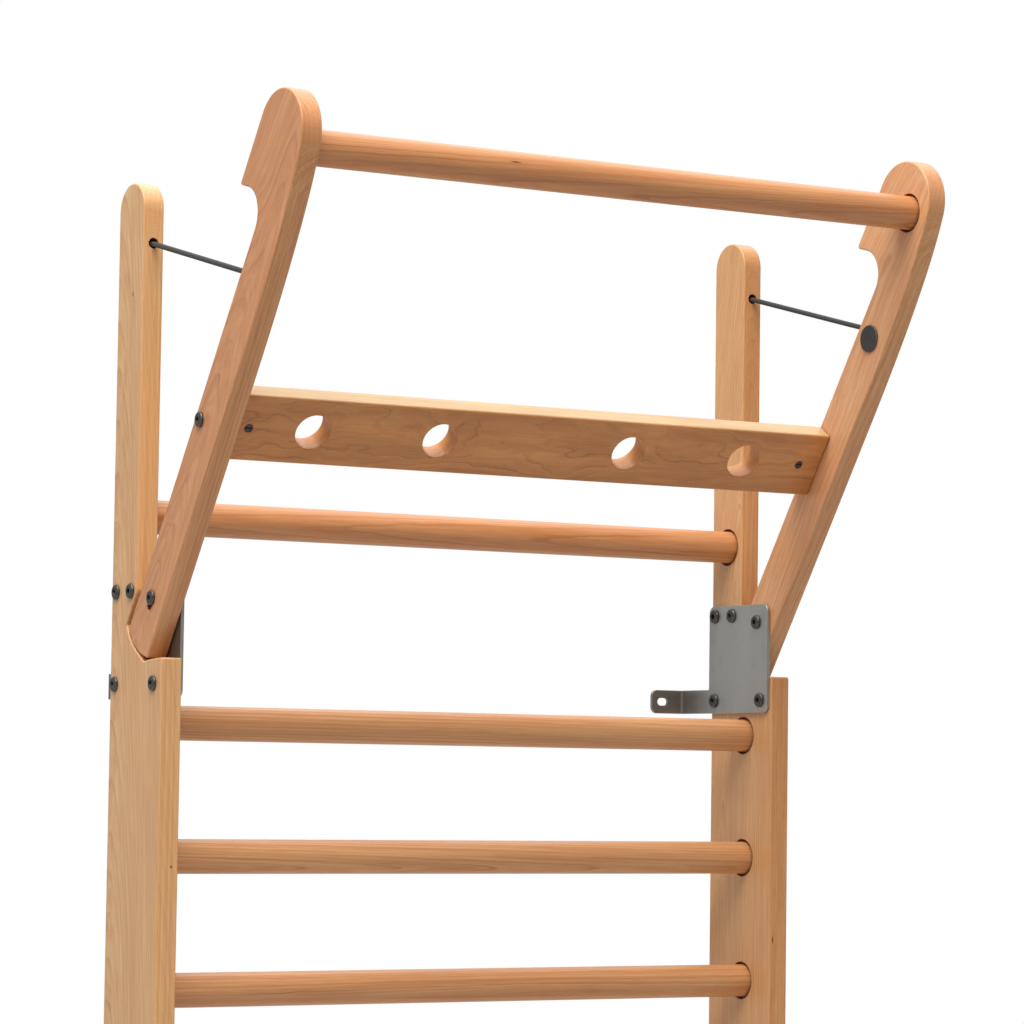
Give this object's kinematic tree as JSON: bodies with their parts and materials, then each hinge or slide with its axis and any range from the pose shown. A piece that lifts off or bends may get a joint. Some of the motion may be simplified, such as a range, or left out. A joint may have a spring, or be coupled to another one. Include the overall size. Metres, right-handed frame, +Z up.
{
  "type": "wall bars",
  "caption": "Wooden wall bars with round rungs, steel wall brackets and a swing-out pull-up frame with bar, drilled board and stay cords.",
  "frame": {"origin": "on the wall's face at the floor line, midway between the uprights", "axes": "+X to the right of someone facing the bars, +Y into the wall, +Z up"},
  "size_m": [0.8472, 0.4905, 2.0715],
  "materials": {
    "upright_wood": "clear satin lacquer",
    "rung_wood": "clear satin lacquer",
    "arm_wood": "clear satin lacquer",
    "board_wood": "clear satin lacquer",
    "bracket_steel": "brushed grey",
    "black_steel": "dark burnished",
    "dark_plastic": "matt",
    "cord_fibre": "braided"
  },
  "bodies": {
    "wall_frame": {"left_upright": "upright_wood", "right_upright": "upright_wood", "rung_01": "rung_wood", "rung_02": "rung_wood", "rung_03": "rung_wood", "rung_04": "rung_wood", "rung_05": "rung_wood", "rung_06": "rung_wood", "rung_07": "rung_wood", "rung_08": "rung_wood", "rung_09": "rung_wood", "rung_10": "rung_wood", "left_upper_bracket": "bracket_steel", "right_upper_bracket": "bracket_steel", "left_lower_bracket": "bracket_steel", "right_lower_bracket": "bracket_steel", "left_bracket_bolt_rear_top": "black_steel", "left_bracket_bolt_front_top": "black_steel", "left_bracket_bolt_rear_low": "black_steel", "left_bracket_bolt_front_low": "black_steel", "right_bracket_bolt_rear_top": "black_steel", "right_bracket_bolt_front_top": "black_steel", "right_bracket_bolt_rear_low": "black_steel", "right_bracket_bolt_front_low": "black_steel", "left_bracket_nut_rear_top": "black_steel", "left_bracket_nut_front_top": "black_steel", "left_bracket_nut_rear_low": "black_steel", "left_bracket_nut_front_low": "black_steel", "right_bracket_nut_rear_top": "black_steel", "right_bracket_nut_front_top": "black_steel", "right_bracket_nut_rear_low": "black_steel", "right_bracket_nut_front_low": "black_steel", "left_lower_screw_1": "black_steel", "left_lower_screw_2": "black_steel", "right_lower_screw_1": "black_steel", "right_lower_screw_2": "black_steel", "left_upright_cord_stop": "black_steel", "right_upright_cord_stop": "black_steel", "left_stay_cord": "cord_fibre", "right_stay_cord": "cord_fibre"},
    "pivot_bolts": {"left_pivot_bolt": "black_steel", "right_pivot_bolt": "black_steel", "left_pivot_nut": "black_steel", "right_pivot_nut": "black_steel"},
    "pullup_frame": {"left_arm": "arm_wood", "right_arm": "arm_wood", "pullup_bar": "rung_wood", "adapter_board": "board_wood", "left_board_bolt": "black_steel", "right_board_bolt": "black_steel", "left_barrel_nut": "black_steel", "right_barrel_nut": "black_steel", "left_cord_cap": "dark_plastic", "right_cord_cap": "dark_plastic", "left_arm_cord_stop": "black_steel", "right_arm_cord_stop": "black_steel"}
  },
  "joints": [
    {"name": "frame_swing", "type": "hinge", "parent": "wall_frame", "child": "pivot_bolts", "pos_m": [0, -0.162, 1.5465], "axis": [-1, 0, 0], "range_deg": [0, 34.3], "deforming": ["left_stay_cord", "right_stay_cord"]},
    {"name": "frame_lift", "type": "slide", "parent": "pivot_bolts", "child": "pullup_frame", "axis": [0, -0.5635, 0.8261], "range_m": [0, 0.01], "deforming": ["left_stay_cord", "right_stay_cord"]}
  ]
}
